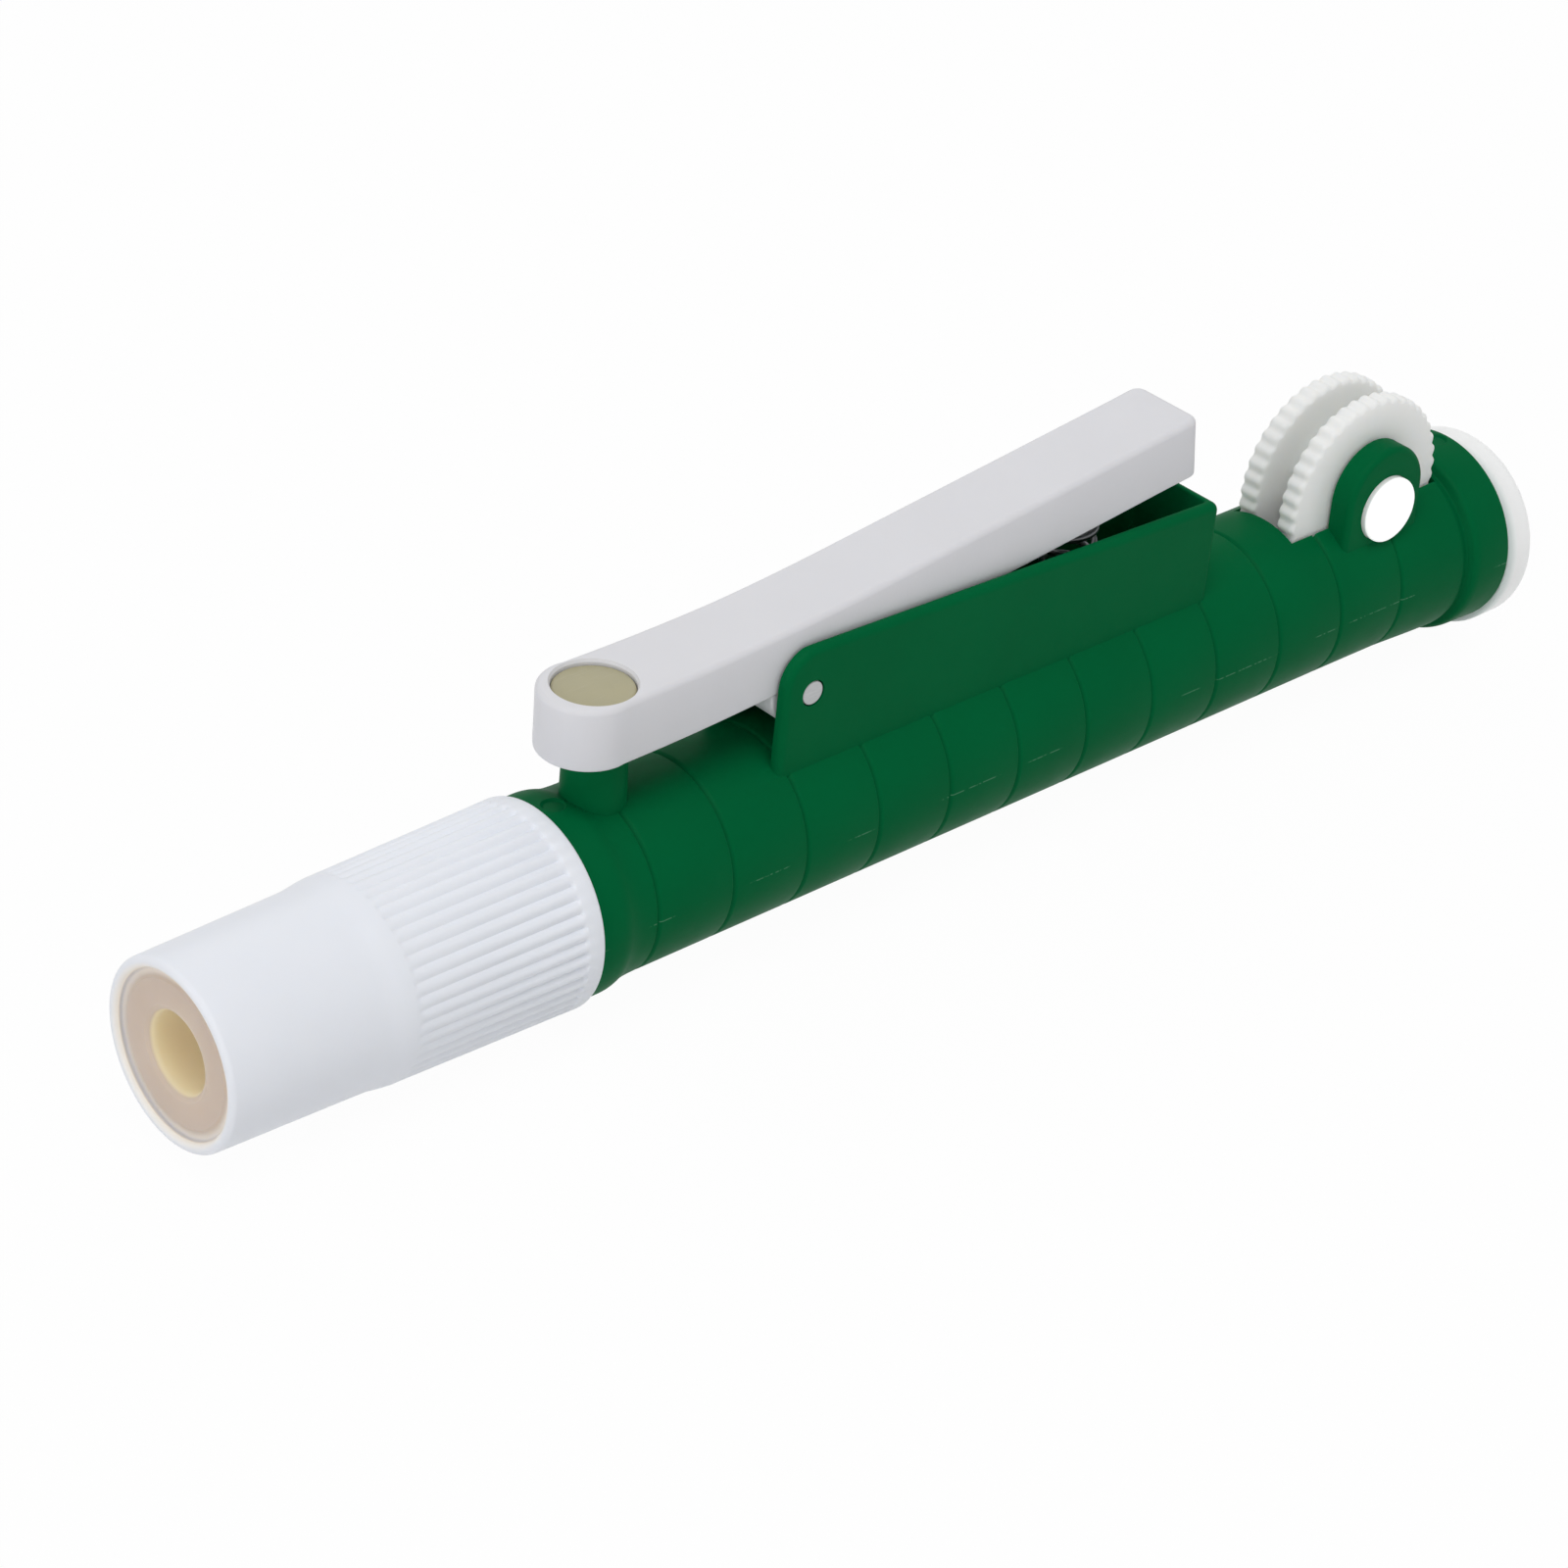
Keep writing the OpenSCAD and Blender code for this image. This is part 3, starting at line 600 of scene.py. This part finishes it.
def make_nose():
    run = [(nose_low.x, 8.65, 0.4), (nose_low.x, nose_r0, 0.62), (6, nose_r(6)), (12, nose_r(12))]
    run += [(x_waist + 0.5 * i, nose_r(x_waist + 0.5 * i)) for i in range(7)]
    steps = [x_ribs - 0.3, x_ribs - 0.15, x_ribs, x_ribs + 0.2, x_ribs + 0.4, x_ribs + 0.7, x_ribs + 1.4, x_ribs + 3,
             x_ribs + 6, x_ribs + 10, x_ribs + 14, rib_end - 2.5, rib_end - 1.2, rib_end - 0.55, rib_end - 0.22,
             rib_end, rib_end + 0.06]
    run += [(x, nose_r(x)) for x in steps]
    run += [(x_joint, nose_r2, 0.45), (x_joint, 8.75, 0.1), (x_joint - 12.2, 8.7), (x_joint - 12.2, 3.5),
            (insert_high.x + 0.2, 3.5), (insert_high.x + 0.2, 8.45), (2.2, 8.45), (0.1, 8.4)]
    bm = turned(run, rib_count * 10, 5)
    for v in bm.verts:
        r = math.hypot(v.co.y, v.co.z)
        x = v.co.x
        if r > 9.2 and x_ribs - 0.2 < x < rib_end + 0.03:
            turn = math.atan2(v.co.z, v.co.y)
            ridge = (0.5 + 0.5 * math.cos(rib_count * turn)) ** 0.55
            start = min(1, max(0, (x - x_ribs + 0.2) / 0.6))
            stop = min(1, max(0, (rib_end + 0.03 - x) / 0.3))
            grow = 0.17 + 0.27 * (x - x_ribs) / (rib_end - x_ribs)
            dip = grow * (1 - ridge) * start * start * (3 - 2 * start) * stop
            v.co.y *= (r - dip) / r
            v.co.z *= (r - dip) / r
    return place(as_object(bm, "nose_shell"), "barrel", ["chuck_nose"], nose_white, 40)


def make_insert():
    step_r = 7.35
    outer_r = insert_high.z
    bm = turned([(0.6, outer_r), (-0.2, outer_r + 0.08), (0.2, outer_r - 0.3, 0.4), (0.2, step_r + 0.1, 0.15),
                 (0.05, step_r, 0.2), (0.0, step_r - 1.2, 0.5),
                 (0.05, pipette_r + 0.75, 0.2), (0.25, pipette_r + 0.3, 0.2), (0.7, pipette_r, 0.3),
                 (7, pipette_r - 0.05), (22, pipette_r), (22, 1.8), (insert_high.x, 1.8),
                 (insert_high.x, outer_r)], 128, 6)
    return place(as_object(bm, "nose_insert"), "barrel", ["chuck_insert"], insert_tan, 50)


def make_ring(name, node, body):
    low, high = box_mm(node)
    section = (high.x - low.x) / 2
    x = (high.x + low.x) / 2
    bm = bmesh.new()
    bmesh.ops.create_circle(bm, cap_ends=False, segments=28, radius=section,
                            matrix=Matrix.Translation((x, high.z - section, 0)))
    bmesh.ops.spin(bm, geom=bm.verts[:] + bm.edges[:], cent=(0, 0, 0), axis=(1, 0, 0), dvec=(0, 0, 0),
                   angle=2 * math.pi, steps=96, use_merge=True, use_normal_flip=False, use_duplicate=False)
    return place(as_object(tidy(bm), name), body, [node], black_rubber, 60)


# ---- lever ----------------------------------------------------------------------

bend_x = wall_x0 - 1.6
bend_half = 15
bend_tan = math.tan(math.radians(6.6))
lever_half = 4.55
head_r = lever_high.y
z_under = pivot_at.z - 0.3
lever_t = 6.7
lever_end = lever_high.x - lever_t / 2 * bend_tan


def bend_rise(x):
    """How far the lever has risen at x, through its bend."""
    t = max(0, min(1, (x - bend_x + bend_half) / (2 * bend_half)))
    return bend_tan * (x - bend_x if x > bend_x + bend_half else bend_half * t * t)


def pocket(x0, x1):
    """The room of one hollow in the lever's underside."""
    half, run = lever_half - 1.5, x1 - x0
    bm = raised(outline([(0, -half, 0.6), (run, -half, 0.6), (run, half, 0.6), (0, half, 0.6)], 4), lever_t + 0.2)
    bmesh.ops.translate(bm, verts=bm.verts[:], vec=(0, 0, -2))
    tilt = math.atan2(bend_rise(x1) - bend_rise(x0), run)
    bmesh.ops.rotate(bm, verts=bm.verts[:], cent=(0, 0, 0), matrix=Matrix.Rotation(-tilt, 3, "Y"))
    bmesh.ops.translate(bm, verts=bm.verts[:], vec=(x0, 0, z_under + bend_rise(x0)))
    return bm


def make_lever():
    bm = bmesh.new()
    start = bm.verts.new((x_head, head_r, 0))
    bmesh.ops.spin(bm, geom=[start], cent=(x_head, 0, 0), axis=(0, 0, 1), dvec=(0, 0, 0), angle=math.pi,
                   steps=40, use_merge=False, use_normal_flip=False, use_duplicate=False)
    end = [v for v in bm.verts if abs(v.co.y + head_r) < 1e-3][0]
    ends = [start, end]
    for x, y in ((x_head + 0.8, head_r - 0.1), (wall_x0 - 1, lever_half), (lever_end, lever_half)):
        grown = []
        for v, side in zip(ends, (1, -1)):
            made = bm.verts.new((x, side * y, 0))
            bm.edges.new((v, made))
            grown.append(made)
        ends = grown
    bm.edges.new(ends)
    bmesh.ops.contextual_create(bm, geom=bm.edges[:])
    bmesh.ops.bevel(bm, geom=ends, offset=1.3, offset_type="OFFSET", segments=5, profile=0.5, affect="VERTICES",
                    clamp_overlap=True, material=-1)
    raised(bm, lever_t)
    bend_cuts = 45
    for i in range(bend_cuts + 1):
        x = x_head + 3.5 + i * (lever_end - x_head - 6.5) / bend_cuts
        bmesh.ops.bisect_plane(bm, geom=bm.verts[:] + bm.edges[:] + bm.faces[:], dist=1e-5, plane_co=(x, 0, 0),
                               plane_no=(1, 0, 0))

    def upper(e):
        return len(e.link_faces) == 2 and abs(e.verts[0].co.z - lever_t) < 1e-4 and \
            abs(e.verts[1].co.z - lever_t) < 1e-4 and any(abs(f.normal.z) < 0.5 for f in e.link_faces)

    def lower(e):
        return len(e.link_faces) == 2 and abs(e.verts[0].co.z) < 1e-4 and abs(e.verts[1].co.z) < 1e-4 and \
            any(abs(f.normal.z) < 0.5 for f in e.link_faces)
    bm.normal_update()
    soften(bm, upper, 0.6, 5)
    bm.normal_update()
    soften(bm, lower, 0.3, 3)
    for v in bm.verts:
        rise = z_under + bend_rise(v.co.x)
        v.co.x -= (v.co.z - lever_t / 2) * bend_tan * min(1, max(0, (v.co.x - lever_end + 5) / 3))
        v.co.z += rise
    tidy(bm)
    lever = as_object(bm, "lever_arm")
    for x0, x1 in ((x_pad + 5.7, pivot_at.x - 4.5), (pivot_at.x + 5.0, spring_x - 5.5),
                   (spring_x + 4.2, lever_end - 1.6)):
        combine(lever, pocket(x0, x1), "DIFFERENCE")
    seat = z_under + bend_rise(spring_x) + 0.4
    post = turned([(seat - 3.2, 0), (seat - 3.2, 1.85, 0.3), (seat + 0.8, 1.85), (seat + 0.8, 0)], 48)
    combine(lever, along_z(post, spring_x), "UNION")
    boss = along_y(turned([(-4.35, 0), (-4.35, 4.0, 0.25), (4.35, 4.0, 0.25), (4.35, 0)], 96), pivot_at.x, pivot_at.z)
    combine(lever, boss, "UNION")
    combine(lever, along_y(turned([(-9, 0), (-9, 1.35), (9, 1.35), (9, 0)], 64), pivot_at.x, pivot_at.z),
            "DIFFERENCE")
    top = z_under + lever_t
    combine(lever, along_z(turned([(z_under - 1, 0), (z_under - 1, 3.51), (pad_high.z - 1.8, 3.51),
                                   (pad_high.z - 1.8, 4.16), (top - 0.3, 4.16), (top - 0.06, 4.32), (top + 0.1, 4.4),
                                   (top + 1, 4.4), (top + 1, 0)], 96), x_pad), "DIFFERENCE")
    return place(lever, "lever", ["release_lever"], lever_white, 32)


def make_pad():
    top, low = pad_high.z, pad_low.z
    rim = pad_high.y
    bm = turned([(low, 0), (low, 3.45, 0.2), (top - 1.8, 3.45), (top - 1.8, rim, 0.1), (top, rim, 0.3), (top, 0)],
                96, 5)
    pad = as_object(along_z(bm, x_pad), "lever_vent_pad")
    return place(pad, "lever", ["lever_pad"], pad_olive, 50)


def make_pin():
    r = 1.3
    bm = turned([(pin_low.y, 0), (pin_low.y, r, 0.14), (pin_high.y, r, 0.14), (pin_high.y, 0)], 64, 3)
    pin = as_object(along_y(bm, pivot_at.x, pivot_at.z), "lever_pivot_pin")
    return place(pin, "barrel", ["lever_pin"], pin_metal, 40)


def make_spring():
    wire = 0.35
    r = (spring_high.y - spring_low.y) / 2 - wire
    x = spring_x
    z0, z1 = spring_low.z + wire, spring_high.z - wire
    turns, steps = 6, 36
    bm = bmesh.new()
    bmesh.ops.create_circle(bm, cap_ends=True, segments=12, radius=wire)
    bmesh.ops.rotate(bm, verts=bm.verts[:], cent=(0, 0, 0), matrix=Matrix.Rotation(math.pi / 2, 3, "X"))
    bmesh.ops.translate(bm, verts=bm.verts[:], vec=(x + r, 0, z0))
    bmesh.ops.spin(bm, geom=bm.verts[:] + bm.edges[:] + bm.faces[:], cent=(x, 0, 0), axis=(0, 0, 1),
                   dvec=(0, 0, (z1 - z0) / (turns * steps)), angle=2 * math.pi * turns, steps=turns * steps,
                   use_merge=False, use_normal_flip=False, use_duplicate=False)
    spring = place(as_object(tidy(bm), "lever_return_spring"), "barrel", ["lever_spring"], wire_metal, 60)
    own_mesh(spring)
    return spring


# ---- thumbwheel -----------------------------------------------------------------

knurl_count = 42


def make_disc(name, node, side):
    core_r, journal_r = 1.5, 3.7
    y_in, y_out, y_end = 1.6, 4.0, journal_out
    bm = turned([(y_in, core_r), (y_in, 5.6, 0.5), (y_in + 0.25, 6.6, 0.6), (y_in + 0.1, 9.6, 0.5),
                 (y_in, wheel_r, 0.55), (y_in + 0.8, wheel_r), (y_out - 0.8, wheel_r), (y_out, wheel_r, 0.6),
                 (y_out, 7.2), (y_out, journal_r + 0.6), (y_out, journal_r, 0.1), (y_end, journal_r, 0.35),
                 (y_end, 0), (y_end - 1.2, 0), (y_end - 1.2, core_r)], knurl_count * 12, 6)
    for v in bm.verts:
        r = math.hypot(v.co.y, v.co.z)
        if r > wheel_r - 1.3:
            turn = math.atan2(v.co.z, v.co.y)
            notch = (0.5 + 0.5 * math.cos(knurl_count * turn)) ** 1.1
            reach = min(1, (r - wheel_r + 1.3) / 1.0)
            dip = 0.32 * notch * reach * reach
            v.co.y *= (r - dip) / r
            v.co.z *= (r - dip) / r
    along_y(bm, wheel_at.x, wheel_at.z, side)
    bmesh.ops.recalc_face_normals(bm, faces=bm.faces[:])
    return place(as_object(bm, name), "thumbwheel", [node], wheel_white, 35)


# ---- plunger --------------------------------------------------------------------

def make_cap():
    x0, x1, r, drop = cap_low.x, cap_high.x, cap_high.y, (cap_low.z + cap_high.z) / 2
    bm = turned([(x0 + 1.6, 0), (x0 + 1.6, 5.8), (x0, 5.8), (x0, r, 0.3), (x1 - 0.6, r, 0.9), (x1, r - 1.6, 1.1),
                 (x1, 0)], 160, 8)
    bmesh.ops.translate(bm, verts=bm.verts[:], vec=(0, 0, drop))
    return place(as_object(bm, "thumb_cap"), "plunger", ["plunger_cap"], cap_clear, 40)


make_barrel()
make_nose()
make_insert()
make_lever()
make_pad()
make_pin()
make_spring()
make_disc("thumb_disc_near", "wheel_disc_near", -1)
make_disc("thumb_disc_far", "wheel_disc_far", 1)
make_cap()
make_ring("nose_o_ring", "nose_seal", "barrel")
make_ring("piston_o_ring_front", "piston_seal_front", "plunger")
make_ring("piston_o_ring_rear", "piston_seal_rear", "plunger")

for node, finish in (("drive_pinion", wheel_white), ("wheel_core_pin", wire_metal), ("plunger_rod", rod_white),
                     ("piston_head", rod_white)):
    carried = frame["nodes"][node]
    carried.data.materials.clear()
    carried.data.materials.append(finish)


# ---- studio ---------------------------------------------------------------------

def make_floor():
    low = min(barrel_low.z, nose_low.z, cap_low.z)
    bm = bmesh.new()
    bmesh.ops.create_grid(bm, x_segments=1, y_segments=1, size=4.0,
                          matrix=Matrix.Translation((0.08, 0, (low - 0.05) * MM)))
    floor = as_object(bm, "floor")
    f = Finish("floor_white")
    path = f.node("LightPath")
    made = path.socket.node
    seen = (Value(f, made.outputs["Is Camera Ray"]) + Value(f, made.outputs["Is Glossy Ray"])
            + Value(f, made.outputs["Is Transmission Ray"])).math("MINIMUM", 1.0)
    matt = f.node("BsdfDiffuse", inputs={"Color": (0.82, 0.82, 0.82, 1.0)})
    glow = f.node("Emission", inputs={"Color": (1, 1, 1, 1), "Strength": 1.0})
    mixed = f.node("MixShader", inputs={0: seen * 0.97, 1: matt, 2: glow})
    f.node("OutputMaterial", inputs={"Surface": mixed})
    floor.data.materials.append(f.material)


def make_lights():
    world = bpy.data.worlds.new("studio")
    bpy.context.scene.world = world
    world.use_nodes = True
    tree = world.node_tree
    tree.nodes.clear()
    path = tree.nodes.new("ShaderNodeLightPath")
    soft = tree.nodes.new("ShaderNodeBackground")
    soft.inputs["Color"].default_value = (1, 1, 1, 1)
    soft.inputs["Strength"].default_value = 0.5
    white = tree.nodes.new("ShaderNodeBackground")
    white.inputs["Color"].default_value = (1, 1, 1, 1)
    white.inputs["Strength"].default_value = 1.0
    total = tree.nodes.new("ShaderNodeMath")
    total.operation = "MAXIMUM"
    tree.links.new(path.outputs["Is Camera Ray"], total.inputs[0])
    tree.links.new(path.outputs["Is Transmission Ray"], total.inputs[1])
    mixed = tree.nodes.new("ShaderNodeMixShader")
    out = tree.nodes.new("ShaderNodeOutputWorld")
    tree.links.new(total.outputs[0], mixed.inputs[0])
    tree.links.new(soft.outputs[0], mixed.inputs[1])
    tree.links.new(white.outputs[0], mixed.inputs[2])
    tree.links.new(mixed.outputs[0], out.inputs["Surface"])

    centre = Vector((0.085, 0, 0.005))
    for name, away, size, power in (("key", (-0.2, -0.3, 1.0), 0.7, 4.0), ("front", (-1.0, -0.1, 0.3), 0.6, 1.8),
                                    ("rim", (0.5, 0.6, 0.5), 0.5, 0.8)):
        lamp = bpy.data.lights.new(name, "AREA")
        lamp.shape = "DISK"
        lamp.size = size
        lamp.energy = power
        holder = bpy.data.objects.new(name, lamp)
        bpy.context.scene.collection.objects.link(holder)
        holder.location = centre + Vector(away)
        holder.rotation_euler = (centre - holder.location).to_track_quat("-Z", "Y").to_euler()


def make_camera():
    view = bpy.data.cameras.new("camera")
    view.lens = 112.5
    view.sensor_width = 36
    view.clip_start = 0.01
    view.clip_end = 20
    holder = bpy.data.objects.new("camera", view)
    bpy.context.scene.collection.objects.link(holder)
    right = Vector((0.74369, -0.66528, 0.06576))
    up = Vector((0.31318, 0.43359, 0.84494))
    back = Vector((-0.59063, -0.60778, 0.53081))
    place_at = Vector((-212.75, -294.95, 259.14)) * MM
    holder.matrix_world = Matrix([
        (right.x, up.x, back.x, place_at.x),
        (right.y, up.y, back.y, place_at.y),
        (right.z, up.z, back.z, place_at.z),
        (0, 0, 0, 1)])
    bpy.context.scene.camera = holder


make_floor()
make_lights()
make_camera()
bpy.context.scene.view_settings.view_transform = "Standard"
